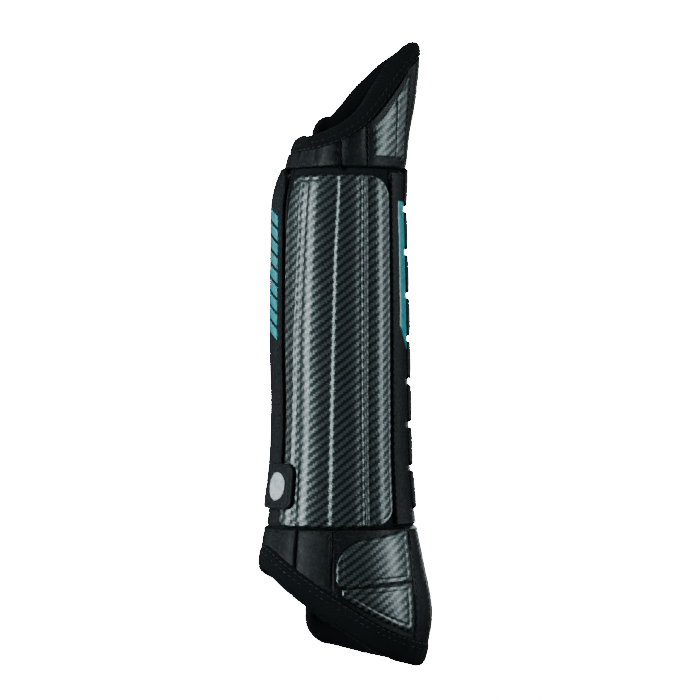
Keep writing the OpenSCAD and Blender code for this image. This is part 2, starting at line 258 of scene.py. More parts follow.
def cut_flat(name, a0, a1, lo, hi, cell):
    """A flat pattern: x is the distance round the leg and y the height, in metres."""
    clean_start()
    width = (a1 - a0) * DEGREE_MM
    angles = np.linspace(a0, a1, 9)
    tall = float(np.max(hi(angles)) - np.min(lo(angles)))
    columns = max(2, round(width / cell[0]))
    rows = max(2, round(tall / cell[1]))
    bpy.ops.mesh.primitive_grid_add(x_subdivisions=columns, y_subdivisions=rows, size=1)
    piece = bpy.context.object
    piece.name = piece.data.name = name
    flat = read_points(piece) + 0.5
    a = a0 + (a1 - a0) * flat[:, 0]
    z = lo(a) + (hi(a) - lo(a)) * flat[:, 1]
    write_points(piece, np.stack([a * DEGREE_MM, z, np.zeros_like(z)], -1) * MM)
    return piece


def flat_uv(piece):
    """Puts the flat sizes, in metres, into the UV map."""
    layer = piece.data.uv_layers.active or piece.data.uv_layers.new(name="flat")
    layer.name = "flat"
    points = read_points(piece)
    index = np.empty(len(piece.data.loops), int)
    piece.data.loops.foreach_get("vertex_index", index)
    layer.data.foreach_set("uv", points[index, :2].ravel())


def lay(piece, inner, relief):
    """Thickens a flat pattern and lays it round the leg. relief(a, z) is its outer face's depth."""
    flat_uv(piece)
    apply_modifier(piece, "SOLIDIFY", thickness=MM, offset=-1, use_even_offset=False)
    flat = read_points(piece)
    a, z = flat[:, 0] / MM / DEGREE_MM, flat[:, 1] / MM
    base = inner(a, z) if callable(inner) else inner
    depth = np.where(flat[:, 2] > -MM / 2, relief(a, z), base)
    write_points(piece, place(a, z, depth))
    face_outwards(piece)
    return piece


def face_outwards(piece):
    edit(piece, lambda: bpy.ops.mesh.normals_make_consistent(inside=False))
    clean_start()
    piece.select_set(True)
    bpy.context.view_layer.objects.active = piece
    bpy.ops.object.shade_smooth_by_angle(angle=np.radians(40))


def edge_distance(a, z, a0, a1, lo, hi):
    """Distance from a panel's nearest edge, in mm."""
    side = np.minimum(a - a0, a1 - a) * DEGREE_MM
    return np.maximum(np.minimum(side, np.minimum(z - lo(a), hi(a) - z)), 0)


def panel(name, a0, a1, lo, hi, cell, inner, relief):
    """Cuts and lays a panel. Its relief also gets the distance from the panel's edge."""
    return lay(cut_flat(name, a0, a1, lo, hi, cell), inner,
               lambda a, z: relief(a, z, edge_distance(a, z, a0, a1, lo, hi)))


def rolled_edge(gap, radius):
    """Rises from 0 at the edge to 1, in a quarter round."""
    return np.sqrt(1 - (1 - np.clip(gap / radius, 0, 1)) ** 2)


def rounded(distance, thickness, radius=1.2, keep=0.35):
    """A panel's height over its base: full inside, rolled down at the edge."""
    x = 1 - np.clip(distance / radius, 0, 1)
    return thickness * (1 - (1 - keep) * x * x)


def dent(distance, width):
    """A groove's share of its depth, at a distance from its line."""
    return np.exp(-(np.asarray(distance) / width) ** 2)


def ripple(a, z, size=9.0):
    """A slow, even unevenness from -1 to 1, as hand-laid cloth has."""
    u, v = a * DEGREE_MM / size, z / size
    return (np.sin(1.7 * u + 2.3 * np.sin(0.9 * v)) * np.cos(1.3 * v + 1.1 * np.sin(1.4 * u + 1))
            + 0.5 * np.sin(3.1 * u - 2.4 * v + 0.7)) / 1.5


print("pattern helpers ready;", round(DEGREE_MM, 3), "mm to a degree")

# %% [markdown]
# ## Finishes
# All the finishes are near black, so what tells them apart is gloss, weave and grain. Each one
# is a Principled shader with its pattern built from the flat UV map or from Object coordinates,
# so that it keeps its real size and stays in place when the boot opens.

# %% Node helpers
def new_material(name, roughness, **sockets):
    material = bpy.data.materials.new(name)
    material.use_nodes = True
    shader = material.node_tree.nodes["Principled BSDF"]
    shader.inputs["Roughness"].default_value = roughness
    for key, value in sockets.items():
        shader.inputs[key.replace("_", " ")].default_value = value
    return material, material.node_tree, shader


def node(tree, kind, **settings):
    made = tree.nodes.new(kind)
    for key, value in settings.items():
        setattr(made, key, value)
    return made


def math_node(tree, operation, *values):
    made = node(tree, "ShaderNodeMath", operation=operation)
    for slot, value in zip(made.inputs, values):
        if isinstance(value, (int, float)):
            slot.default_value = value
        else:
            tree.links.new(value, slot)
    return made.outputs[0]


def coordinates(tree, source="UV", scale=(1, 1, 1)):
    out = node(tree, "ShaderNodeTexCoord").outputs[source]
    mapping = node(tree, "ShaderNodeMapping")
    mapping.inputs["Scale"].default_value = scale
    tree.links.new(out, mapping.inputs["Vector"])
    return mapping.outputs["Vector"]


def noise(tree, vector, scale, detail=3.0):
    made = node(tree, "ShaderNodeTexNoise")
    made.inputs["Scale"].default_value = scale
    made.inputs["Detail"].default_value = detail
    tree.links.new(vector, made.inputs["Vector"])
    return made.outputs["Fac"]


def ramp(tree, factor, stops):
    made = node(tree, "ShaderNodeValToRGB")
    made.color_ramp.elements[0].position, made.color_ramp.elements[0].color = stops[0]
    made.color_ramp.elements[1].position, made.color_ramp.elements[1].color = stops[-1]
    for position, colour in stops[1:-1]:
        made.color_ramp.elements.new(position).color = colour
    tree.links.new(factor, made.inputs["Fac"])
    return made.outputs["Color"]


def bump(tree, shader, height, distance, strength=1.0):
    made = node(tree, "ShaderNodeBump")
    made.inputs["Distance"].default_value = distance
    made.inputs["Strength"].default_value = strength
    tree.links.new(height, made.inputs["Height"])
    tree.links.new(made.outputs["Normal"], shader.inputs["Normal"])


def plug(tree, shader, **sockets):
    for key, value in sockets.items():
        tree.links.new(value, shader.inputs[key.replace("_", " ")])


def uv_axes(tree):
    axes = node(tree, "ShaderNodeSeparateXYZ")
    tree.links.new(coordinates(tree), axes.inputs[0])
    return axes.outputs[0], axes.outputs[1]


def grey(value, blue=0.28):
    return (value * (1 - blue), value, value * (1 + blue), 1)


print("node helpers ready")

# %% [markdown]
# ### Twill plate
# The strike plate is pressed with a two-over, two-under twill. In the twill, the upright tows
# shine and the level ones sink back, which draws the slanted lines. The upright tows are also
# coloured lighter than the level ones: a painted sheen on them and a painted shade on the sunken
# level tows. The same formula shapes the mesh and colours the material: the cell of the weave
# is 1.6 mm wide and 1.22 mm tall.

# %% Twill
CELL_U, CELL_V = 1.6, 1.22


def twill_height(a, z):
    """The weave's relief from -1 to 1 at points of the flat pattern."""
    u, v = a * DEGREE_MM / CELL_U, z / CELL_V
    i, j = np.floor(u + 1e-6), np.floor(v + 1e-6)
    upright = np.mod(i - j, 4) < 2
    along = np.where(upright, np.mod(i - v, 4), np.mod(u - j, 4) - 2)
    across = np.where(upright, u - i, v - j)
    lump = np.sin(np.pi * np.clip(along / 2, 0, 1)) * np.sin(np.pi * np.clip(across, 0, 1))
    return np.where(upright, lump, -0.7 + 0.5 * lump)


def twill_material():
    material, tree, shader = new_material(
        "twill_plate", 0.4, Metallic=0.6, Coat_Weight=0.5, Coat_Roughness=0.29, Coat_IOR=1.65)
    across, up = uv_axes(tree)
    u = math_node(tree, "DIVIDE", across, CELL_U * MM)
    v = math_node(tree, "DIVIDE", up, CELL_V * MM)
    i, j = math_node(tree, "FLOOR", u), math_node(tree, "FLOOR", v)
    phase = math_node(tree, "FLOORED_MODULO", math_node(tree, "SUBTRACT", i, j), 4.0)
    upright = math_node(tree, "LESS_THAN", phase, 2.0)
    strand = math_node(tree, "SINE", math_node(tree, "MULTIPLY", u, 6 * np.pi))
    weft = math_node(tree, "SINE", math_node(tree, "MULTIPLY", v, 6 * np.pi))
    fine = node(tree, "ShaderNodeMix", data_type="FLOAT")
    tree.links.new(upright, fine.inputs[0])
    tree.links.new(weft, fine.inputs[2])
    tree.links.new(strand, fine.inputs[3])
    wear = noise(tree, coordinates(tree, "Object"), 160.0)
    # The upright tows' share of the tone is a painted sheen on them and a painted shade on the
    # sunken level tows; the wear noise adds a random tone.
    tone = math_node(tree, "MULTIPLY_ADD", wear, 0.35, math_node(tree, "MULTIPLY", upright, 0.65))
    shade = lambda v: (v * 0.74, v, v * 1.04, 1)
    colour = ramp(tree, tone, [(0.0, shade(0.004)), (0.3, shade(0.01)), (0.75, shade(0.085)),
                               (1.0, shade(0.14))])
    rough = math_node(tree, "MULTIPLY_ADD", upright, -0.14, 0.46)
    plug(tree, shader, Base_Color=colour, Roughness=rough)
    height = math_node(tree, "MULTIPLY_ADD", fine.outputs[0], 0.25, upright)
    bump(tree, shader, height, 0.00012, 0.5)
    return material


twill = twill_material()
print("twill cell", CELL_U, "x", CELL_V, "mm")

# %% [markdown]
# ### Smooth covers, bindings, foam and the rest
# The covers are a grained synthetic leather: a cell pattern gives the grain, and slow noise
# changes its gloss where hands have rubbed it. The bindings are a matt knit with a soft sheen.
# The liner is foam with rows of air holes, darkened in the colour as painted shade. The elastic is
# ribbed across its length.

# %% Plain finishes
def hide_material(name, tone, roughness, grain=900.0, depth=0.00012):
    material, tree, shader = new_material(name, roughness, Specular_IOR_Level=0.24)
    spot = coordinates(tree, "Object")
    cells = node(tree, "ShaderNodeTexVoronoi", feature="DISTANCE_TO_EDGE")
    cells.inputs["Scale"].default_value = grain
    tree.links.new(spot, cells.inputs["Vector"])
    worn = noise(tree, spot, 45.0, 4.0)
    colour = ramp(tree, worn, [(0.3, grey(tone * 0.7)), (0.7, grey(tone * 1.35))])
    rough = math_node(tree, "MULTIPLY_ADD", worn, 0.22, roughness - 0.1)
    plug(tree, shader, Base_Color=colour, Roughness=rough)
    creases = math_node(tree, "MINIMUM", cells.outputs["Distance"], 0.12)
    height = math_node(tree, "MULTIPLY_ADD", worn, 0.2, math_node(tree, "MULTIPLY", creases, 8.0))
    bump(tree, shader, height, depth, 0.55)
    return material


def knit_material(name, tone, pitch, roughness=0.85, sheen=0.35, depth=0.00012):
    """A ribbed cloth: rows of loops along the piece's own flat sizes."""
    material, tree, shader = new_material(name, roughness, Sheen_Weight=sheen,
                                          Sheen_Roughness=0.5, Specular_IOR_Level=0.18)
    across, up = uv_axes(tree)
    turns = 2 * np.pi / (pitch * MM)
    wale = math_node(tree, "SINE", math_node(tree, "MULTIPLY", across, turns))
    course = math_node(tree, "SINE", math_node(tree, "MULTIPLY", up, turns * 1.25))
    loops = math_node(tree, "MULTIPLY_ADD", math_node(tree, "MULTIPLY", wale, course), 0.5, 0.5)
    worn = noise(tree, coordinates(tree, "Object"), 90.0)
    # The colour follows the loops: lighter on their crests and darker between them, a painted light
    # and shade on the knit's relief. The slow noise adds a random tone.
    mixed = math_node(tree, "MULTIPLY_ADD", worn, 0.5, math_node(tree, "MULTIPLY", loops, 0.5))
    colour = ramp(tree, mixed, [(0.2, grey(tone * 0.55)), (0.8, grey(tone * 1.5))])
    plug(tree, shader, Base_Color=colour)
    bump(tree, shader, mixed, depth, 0.7)
    return material


def foam_material():
    material, tree, shader = new_material("liner_foam", 0.9, Sheen_Weight=0.03,
                                          Sheen_Roughness=0.6, Specular_IOR_Level=0.15)
    holes = node(tree, "ShaderNodeTexVoronoi", feature="F1")
    holes.inputs["Scale"].default_value = 1.0
    holes.inputs["Randomness"].default_value = 0.0
    hole_pitch = 1 / (5.5 * MM)
    tree.links.new(coordinates(tree, "UV", (hole_pitch, hole_pitch, 1)), holes.inputs["Vector"])
    rim = math_node(tree, "SMOOTH_MIN", math_node(tree, "MULTIPLY", holes.outputs["Distance"], 5.0),
                    1.0, 0.3)
    worn = noise(tree, coordinates(tree, "Object"), 600.0)
    # The air holes are darker in the colour: painted shade inside them. The noise adds a random
    # tone.
    tone = math_node(tree, "MULTIPLY", rim, math_node(tree, "MULTIPLY_ADD", worn, 0.5, 0.6))
    colour = ramp(tree, tone, [(0.15, grey(0.001)), (0.9, grey(0.01))])
    plug(tree, shader, Base_Color=colour)
    bump(tree, shader, tone, 0.0006, 0.8)
    return material


def print_material(name, colour, roughness):
    material, tree, shader = new_material(name, roughness, Coat_Weight=0.4, Coat_Roughness=0.2)
    worn = noise(tree, coordinates(tree, "Object"), 320.0, 5.0)
    dark = tuple(c * 0.72 for c in colour) + (1,)
    bright = tuple(min(1, c * 1.12) for c in colour) + (1,)
    plug(tree, shader, Base_Color=ramp(tree, worn, [(0.3, dark), (0.62, bright)]))
    bump(tree, shader, worn, 0.00006, 0.4)
    return material


hide = hide_material("smooth_hide", 0.005, 0.4)
flap_hide = hide_material("flap_synthetic", 0.009, 0.5, grain=1400.0, depth=0.00008)
rubber = hide_material("block_rubber", 0.007, 0.48, grain=2200.0, depth=0.00005)
knit = knit_material("binding_fabric", 0.0045, 1.1, 0.9, 0.02)
elastic = knit_material("elastic_web", 0.012, 1.6, 0.75, 0.2, 0.0003)
loops = knit_material("loop_tape", 0.012, 0.8, 0.95, 0.6, 0.0004)
hooks = knit_material("hook_tape", 0.01, 1.3, 0.5, 0.0, 0.0005)
thread = knit_material("thread", 0.016, 0.5, 0.6, 0.2, 0.00005)
foam = foam_material()
teal = print_material("teal_print", (0.02, 0.42, 0.48), 0.3)
white = print_material("white_print", (0.8, 0.84, 0.86), 0.45)
print(len([twill, hide, flap_hide, rubber, knit, elastic, loops, hooks, foam, teal, white,
           thread]), "finishes")

# %% [markdown]
# ### Pieces across the joints
# The hinges of this boot are only soft places in the foam and the elastic. So the pieces that
# cross one run right through it, and stay where they are laid, on neither body.

# %% Finishing helpers
FLAP_ROOT = 150.0


def point(angle):
    return tuple(float(v) for v in place(angle, BACK_H / 2, 0.0))


def finish_piece(piece, material, body, *nodes, slot=None):
    """Gives a piece its finish, and its body unless it crosses a joint; hides the nodes it stands
    for.
    """
    piece.data.materials.clear()
    piece.data.materials.append(material)
    if body == "wing_bend":
        point(54.5)
        point(65)
        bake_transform(piece)
    elif body == "strap_bend":
        point(91.5)
        point(95)
        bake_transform(piece)
    elif body == "flap_bend":
        point(146.5)
        point(152)
        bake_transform(piece)
    else:
        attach(piece, body)
    if nodes:
        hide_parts(*nodes)
    print(piece.name, len(piece.data.polygons), "faces on", body)


def one_piece(name, pieces):
    clean_start()
    for piece in pieces:
        piece.select_set(True)
    bpy.context.view_layer.objects.active = pieces[0]
    if len(pieces) > 1:
        bpy.ops.object.join()
    joined = bpy.context.object
    joined.name = joined.data.name = name
    return joined


# %% [markdown]
# ## Stitches
# A lockstitch shows as a short raised loop of thread that dips into the cloth at both ends. One
# stitch is modelled, repeated along a straight line, and the row is then laid along its seam.
# Each stitch leans a little, as they do when the thread is pulled from one side.

# %% Rows of stitches
def stitch_row(name, seam, pitch=3.8, length=3.0, thick=0.62, lean=0.18):
    """A row of stitches along a seam of (angle, height, depth) points."""
    seam = np.asarray(seam, float)
    path = place(seam[:, 0], seam[:, 1], seam[:, 2])
    out = place(seam[:, 0], seam[:, 1], seam[:, 2] + 1.0) - path
    run = np.concatenate([[0], np.cumsum(np.linalg.norm(np.diff(path, axis=0), axis=1))])
    count = max(2, int(run[-1] / (pitch * MM)))
    clean_start()
    bpy.ops.mesh.primitive_uv_sphere_add(segments=6, ring_count=4, radius=0.5 * MM,
                                         rotation=(0, np.pi / 2, 0))
    row = bpy.context.object
    row.name = row.data.name = name
    bpy.ops.object.transform_apply(location=False, rotation=True, scale=True)
    apply_modifier(row, "ARRAY", count=count, use_relative_offset=False,
                   use_constant_offset=True, constant_offset_displace=(10 * MM, 0, 0))
    points = read_points(row)
    turn = np.round(points[:, 0] / (10 * MM)).astype(int)
    x = (points[:, 0] - turn * 10 * MM) * length
    y, z = points[:, 1] * thick, points[:, 2] * thick * 0.9
    y = y + lean * x
    z = z + 0.22 * MM * (1 - (x / (length * MM / 2)) ** 2) - 0.1 * MM
    s = (turn + 0.5) * run[-1] / count
    along = lambda where, line: np.stack(
        [np.interp(where, run, line[:, k]) for k in range(3)], -1)
    centre, up = along(s, path), along(s, out)
    ahead = along(s + MM, path) - along(s - MM, path)
    ahead /= np.linalg.norm(ahead, axis=1, keepdims=True)
    side = np.cross(up, ahead)
    side /= np.linalg.norm(side, axis=1, keepdims=True)
    up = np.cross(ahead, side)
    write_points(row, centre + ahead * x[:, None] + side * y[:, None] + up * z[:, None])
    edit(row, lambda: bpy.ops.mesh.normals_make_consistent(inside=False))
    return row


def upright_seam(a, lo, hi, depth, steps=40):
    z = np.linspace(lo, hi, steps)
    return np.stack([np.full_like(z, a), z, np.full_like(z, depth)], -1)


def level_seam(a0, a1, line, depth, steps=60):
    a = np.linspace(a0, a1, steps)
    z = line(a) if callable(line) else np.full_like(a, line)
    return np.stack([a, z, np.full_like(a, depth)], -1)


print("a stitch is 3 mm long every 3.8 mm")

# %% [markdown]
# ## Liner
# The liner is a 4 mm sheet of perforated foam that runs all the way round under everything. It
# is one piece per body on the real boot, and the wing's part reaches back past the hinge.

# %% Liner
def liner_piece(name, a0, a1, open_edge, body, node_name):
    drop = lambda a: 3 * dent(arc(a, open_edge) - 3, 5)
    flat = cut_flat(name, a0, a1, lambda a: over_bottom(a) - drop(a),
                    lambda a: under_top(a) + drop(a), cell=(2.4, 4))
    piece = lay(flat, -LINER_T, lambda a, z: 0.05 * ripple(a, z, 14))
    finish_piece(piece, foam, body, node_name, slot="liner_foam")


liner_piece("Liner", 117.5, 412.2, 117.5, "shell", "liner")
liner_piece("Wing_liner", 52.4, 100.5, 100.5, "wing_bend", "wing_liner")

# %% [markdown]
# ## Bindings
# One strip of knit tape is folded over the raw edge of all the layers and sewn through with two
# rows of stitches. It is a closed tube here: a flat strip whose long edges are brought round an
# oval section and merged. The stitching pulls it in, so it puckers between the rows.

# %% Edge path
def edge_path(edge, side):
    """The boot's edge with the boot on its left: (angle, height, width, in, out, lean)."""
    top = (TOP_W, -5.0, 2.9, 1.2)
    bottom = (BOTTOM_W, -5.2, 3.1, 0.8)
    tape = (5.8, -4.5, 2.1, 0.0)
    far = 412.2 if side < 0 else 52.4
    high_r, low_r = TOP_W + 1.5, BOTTOM_W + 1
    high_mid = edge - side * high_r / float(degree(edge, PLATE_HI))
    low_mid = edge - side * low_r / float(degree(edge, BOTTOM_RISE))
    top_z, low_z = float(top_rim(high_mid)) - high_r, float(bottom_rim(low_mid)) + low_r
    mix = lambda p, q, t: tuple(a + (b - a) * t for a, b in zip(p, q))
    turn = np.linspace(0, 90, 16)
    high = [(high_mid + (edge - high_mid) * np.sin(np.radians(u)),
             top_z + high_r * np.cos(np.radians(u)), *mix(top, tape, (u / 90) ** 3)) for u in turn]
    low = [(low_mid + (edge - low_mid) * np.sin(np.radians(u)),
            low_z - low_r * np.cos(np.radians(u)), *mix(bottom, tape, (u / 90) ** 3)) for u in turn]
    tops = [(a, float(top_rim(a)), *top) for a in np.linspace(far, high_mid, 180)[:-1]]
    lows = [(a, float(bottom_rim(a)), *bottom) for a in np.linspace(far, low_mid, 180)[:-1]]
    edges = [(edge, z, *tape) for z in np.linspace(top_z, low_z, 120)[1:-1]]
    path = tops + high + edges + low[::-1] + lows[::-1]
    return np.array(path if side < 0 else path[::-1])


def even_path(path, pitch):
    """The same path with points at an even pitch, and its length so far at each."""
    flat = np.stack([path[:, 0] * degree(path[:, 0], path[:, 1]), path[:, 1]], -1)
    run = np.concatenate([[0], np.cumsum(np.linalg.norm(np.diff(flat, axis=0), axis=1))])
    s = np.linspace(0, run[-1], int(run[-1] / pitch))
    return np.stack([np.interp(s, run, path[:, k]) for k in range(path.shape[1])], -1), s


def across_edge(path, across, depth):
    """Points at a distance in from the edge, at a depth."""
    a, z = path[:, 0], path[:, 1]
    deg = degree(a, z)
    ds, dz = np.gradient(a) * deg, np.gradient(z)
    for _ in range(3):
        ds, dz = (np.convolve(np.pad(v, 2, mode="edge"), np.ones(5) / 5, "valid")
                  for v in (ds, dz))
    length = np.hypot(ds, dz)
    return np.stack([a - dz / length * across / deg, z + ds / length * across, depth], -1)


print("edge path points:", len(edge_path(SHELL_START, -1)))

# %% [markdown]
# The section is a soft rectangle: flat on the outside, rolled over at the rim. Stitch lines are
# pressed in, small puckers follow the stitch pitch, and broad wrinkles come from the bend.

# %% Bindings
AROUND = 30


def binding(name, edge, side, body, *nodes):
    path, run = even_path(edge_path(edge, side), 0.95)
    n = len(path)
    clean_start()
    bpy.ops.mesh.primitive_grid_add(x_subdivisions=n - 1, y_subdivisions=AROUND, size=1)
    piece = bpy.context.object
    piece.name = piece.data.name = name
    flat = read_points(piece) + 0.5
    i = np.round(flat[:, 0] * (n - 1)).astype(int)
    u = 2 * np.pi * flat[:, 1]
    width, inner, outer, leans = path[i, 2], path[i, 3], path[i, 4], path[i, 5]
    soft = lambda v, p: np.sign(v) * np.abs(v) ** p
    share = 0.5 - 0.5 * soft(np.cos(u), 0.85)
    depth = (inner + outer) / 2 + (outer - inner) / 2 * soft(np.sin(u), 0.6)
    depth = depth - leans * (1 - share)
    s = run[i]
    face = np.clip(np.sin(u), 0, 1) ** 0.5
    press = dent(share * width - (width - 2.3), 0.55) + dent(share * width - (width - 5.4), 0.55)
    pucker = np.cos(2 * np.pi * s / 3.8) * np.exp(-((share * width - (width - 3.8)) / 3.4) ** 2)
    broad = (np.sin(s / 5.3 + 2.2 * np.sin(s / 23)) * np.cos(share * 5 + s / 11)
             + 0.6 * np.sin(s / 2.9 + 3 * share + 1.5 * np.sin(s / 17)))
    depth = depth + face * (0.16 * pucker - 0.42 * press + 0.13 * broad)
    edge_roll = 0.18 * np.sin(s / 6.1 + 1.4 * np.sin(s / 13.7)) * (1 - share)
    a = path[:, 0][i]
    points = across_edge(path, 0, path[:, 0] * 0)[i]
    inward = across_edge(path, np.ones(n), path[:, 0] * 0)[i] - points
    across = share * width + edge_roll
    points = points + inward * across[:, None]
    layer = piece.data.uv_layers.active
    layer.name = "flat"
    index = np.empty(len(piece.data.loops), int)
    piece.data.loops.foreach_get("vertex_index", index)
    around = flat[:, 1] * 2 * (width.mean() + 7)
    layer.data.foreach_set("uv", (np.stack([s, around], -1) * MM)[index].ravel())
    write_points(piece, place(points[:, 0], points[:, 1], depth))

    def close_ends():
        bpy.ops.mesh.remove_doubles(threshold=0.01 * MM)
        bpy.ops.mesh.select_all(action="DESELECT")
        bpy.ops.mesh.select_non_manifold()
        bpy.ops.mesh.fill_holes(sides=0)

    edit(piece, close_ends)
    face_outwards(piece)
    finish_piece(piece, knit, body, *nodes, slot="binding_fabric")
    rows = []
    for inset in (2.3, 5.4):
        where = path[:, 2] - inset
        if inset > 5:
            where = np.maximum(where, 1.2)
        share = np.clip(where / path[:, 2], 0, 1)
        turn = np.arccos(np.clip(soft(1 - 2 * share, 1 / 0.85), -1, 1))
        top = ((path[:, 3] + path[:, 4]) / 2 + (path[:, 4] - path[:, 3]) / 2
               * np.sin(turn) ** 0.6 - path[:, 5] * (1 - share) - 0.32)
        rows.append(stitch_row(name + "_row", across_edge(path, where, top)))
    finish_piece(one_piece(name + "_stitches", rows), thread, body)


binding("Edge_binding", SHELL_START, -1, "shell", "top_binding", "front_edge_tape",
        "bottom_binding")
binding("Wing_binding", WING_END, 1, "wing_bend", "wing_top_binding", "wing_edge_tape",
        "wing_bottom_binding")

# %% [markdown]
# ## Strike plate
# The plate is a pressed sheet of woven twill over a hard core. Its flutes run upright and fan
# out towards the fetlock: a thin ridge, two broad crowned flutes, a dark channel and a third
# flute. Seven lines part them, each given by its angle at six heights. The profile is a
# list of positions between those lines, with depths.

# %% Strike plate's flutes
LINE_Z = np.array([84.0, 121.0, 144.0, 191.0, 237.0, 272.0])
LINES = np.array([
    [199.5, 199.5, 199.5, 199.5, 199.5, 199.5], [206.5, 208.4, 209.2, 211.8, 215.6, 217.5],
    [218.0, 217.8, 218.2, 220.0, 223.0, 226.0], [245.3, 246.0, 246.6, 248.2, 250.2, 253.2],
    [275.4, 275.6, 275.2, 274.7, 274.4, 275.1], [285.7, 285.6, 285.5, 285.9, 286.0, 286.0],
    [307.0, 307.0, 307.0, 307.0, 307.0, 307.0]])
PROFILE = np.array([
    [0, 2.5], [0.3, 2.55], [0.9, 2.3], [0.95, 2.3], [1.0, 2.95], [1.08, 3.1], [1.42, 2.45],
    [1.5, 2.35], [1.95, 2.3], [2.0, 2.4], [2.06, 3.6], [2.16, 3.8], [2.34, 3.8], [2.62, 3.2],
    [2.8, 2.7], [2.95, 2.3], [3.0, 2.35], [3.1, 3.0], [3.16, 3.1], [3.4, 3.05], [3.8, 2.5],
    [3.95, 2.1], [4.0, 2.15], [4.17, 3.2], [4.26, 3.25], [4.62, 1.7], [5.0, 2.4],
    [5.08, 3.3], [5.25, 3.7], [5.45, 3.75], [5.7, 3.3], [6.0, 2.7]])
BEVELS = np.array([1.0, 1.25, 2.03, 3.05, 4.08, 5.04])


def between_lines(a, z):
    """Where an angle lies between the flutes' lines: 0 at the first line, 6 at the last."""
    edges = [np.interp(z, LINE_Z, line) for line in LINES]
    return sum(np.clip((a - p) / (q - p), 0, 1) for p, q in zip(edges, edges[1:]))


plate_lo, plate_top = rounded_box(PLATE_START, PLATE_END, PLATE_LO, PLATE_HI, (5, 14), (12, 16))


def plate_hi(a):
    """The upper front corner is cut back on a long slant."""
    slant = np.clip(1 - arc(a, PLATE_START) / 6.5, 0, 1)
    return plate_top(a) - 45 * slant ** 1.5


def plate_relief(a, z):
    share = between_lines(a, z)
    depth = np.interp(share, PROFILE[:, 0], PROFILE[:, 1])
    flat = np.clip(np.min([np.abs(share - b) for b in BEVELS], axis=0) / 0.12, 0, 1)
    gap = edge_distance(a, z, PLATE_START, PLATE_END, plate_lo, plate_hi)
    rim = np.clip(gap / 1.8, 0, 1)
    rolled = 0.6 + (depth - 0.6) * rolled_edge(gap, 1.8)
    flange = 0.3 * dent(gap - 3.0, 0.7)
    return rolled - flange + 0.04 * twill_height(a, z) * rim * flat + 0.06 * ripple(a, z, 20)


plate = lay(cut_flat("Strike_plate", PLATE_START + 0.1, PLATE_END, plate_lo, plate_hi,
                     cell=(0.5, 0.61)), SEWN, plate_relief)
finish_piece(plate, twill, "shell", "strike_plate", slot="twill_plate")

# %% [markdown]
# The wing carries a narrower plate of the same stuff, with one shallow crown.

# %% Wing plate
WING_PLATE = (64.2, 86)
wing_box = rounded_box(*WING_PLATE, PLATE_LO, PLATE_HI, (6, 6), (6, 6))


def wing_plate_relief(a, z, gap):
    crown = 3.55 - 0.7 * ((a - 75) / 11) ** 2 - 0.6 * dent(a - 70, 0.7) - 0.6 * dent(a - 80, 0.7)
    return (0.6 + (crown - 0.6) * rolled_edge(gap, 2.2)
            + 0.055 * twill_height(a, z) * np.clip(gap / 2.2, 0, 1))


wing_plate = panel("Wing_plate", *WING_PLATE, *wing_box, (0.7, 0.9), SEWN, wing_plate_relief)
finish_piece(wing_plate, twill, "wing", "wing_plate", slot="twill_plate")

# %% [markdown]
# ## Lower guards
# Under the plate the boot is faced with a smooth, slightly padded synthetic. Three panels meet
# at upright seams, each edge turned under and sewn, with a second seam down the middle panel.
# They fill out where the fetlock joint swells.

# %% Guards
def cover(name, a0, a1, lo, hi, relief_extra, body, *nodes, cell=(1.1, 1.4), open_top=False,
          open_low=True, thick=COVER_D - 0.2):
    """A soft cover: turned edges at its sides, free to run under the bindings."""
    low = (lambda a: lo(a) - 9) if open_low else lo
    high = (lambda a: hi(a) + 9) if open_top else hi

    def relief(a, z):
        gap = edge_distance(a, z, a0, a1, low, high)
        return SEWN + rounded(gap, thick, 1.5, 0.3) + relief_extra(a, z, gap)

    piece = lay(cut_flat(name, a0, a1, lo, hi, cell), SEWN, relief)
    finish_piece(piece, hide, body, *nodes, slot="smooth_hide")
    angles = np.linspace(a0, a1, 21)
    float(np.mean(hi(angles) - lo(angles)))


def plain(a, z, gap):
    return 0.09 * ripple(a, z, 16) * np.clip(gap / 4, 0, 1) - 0.2 * dent(gap - 2.6, 0.5)


def middle_guard(a, z, gap):
    seam = 248.5 + 0.02 * (z - 40)
    near = np.abs(a - seam) * DEGREE_MM
    swell = 0.35 * np.clip(gap / 12, 0, 1)
    return plain(a, z, gap) + swell - 0.9 * dent(near, 0.45) - 0.2 * dent(near - 2.2, 0.5)


cover("Front_guard", SHELL_SIDES[0], 218.5, over_bottom, level(GUARD_TOP),
      lambda a, z, gap: plain(a, z, gap) + 0.09 * twill_height(a, z) * np.clip(gap, 0, 1),
      "shell", "front_guard", cell=(0.7, 0.8))
cover("Fetlock_guard", 218.9, 322.0, over_bottom, level(GUARD_TOP), middle_guard, "shell",
      "fetlock_guard", cell=(0.8, 1.2))
cover("Heel_guard", 322.5, SHELL_SIDES[1], over_bottom, level(GUARD_TOP), plain, "shell",
      "heel_guard")
cover("Wing_guard", *WING_SIDES, over_bottom, level(GUARD_TOP), plain, "wing_bend", "wing_guard")

seams = []
for a in (216.4, 221.0, 246.0, 251.2, 320.2, 324.4):
    low = float(over_bottom(a)) + 2
    seams.append(stitch_row("seam", upright_seam(a, low, GUARD_TOP - 3, 2.0)))
finish_piece(one_piece("Guard_stitches", seams), thread, "shell")

# %% [markdown]
# ## Fetlock pads
# Two raised twill pads shield the inside of the joint. They are cut from the plate's material
# over foam, with a hard bevelled front edge that catches the light.

# %% Pads
PAD_IN, PAD_START, PAD_END = 2.3, 252.0, 318.2


def pad_seam(a):
    return 50 + 0.04 * (np.asarray(a, float) - PAD_START)


def upper_lo(a):
    return pad_seam(a) - 2 + corner(arc(a, PAD_START), 6)


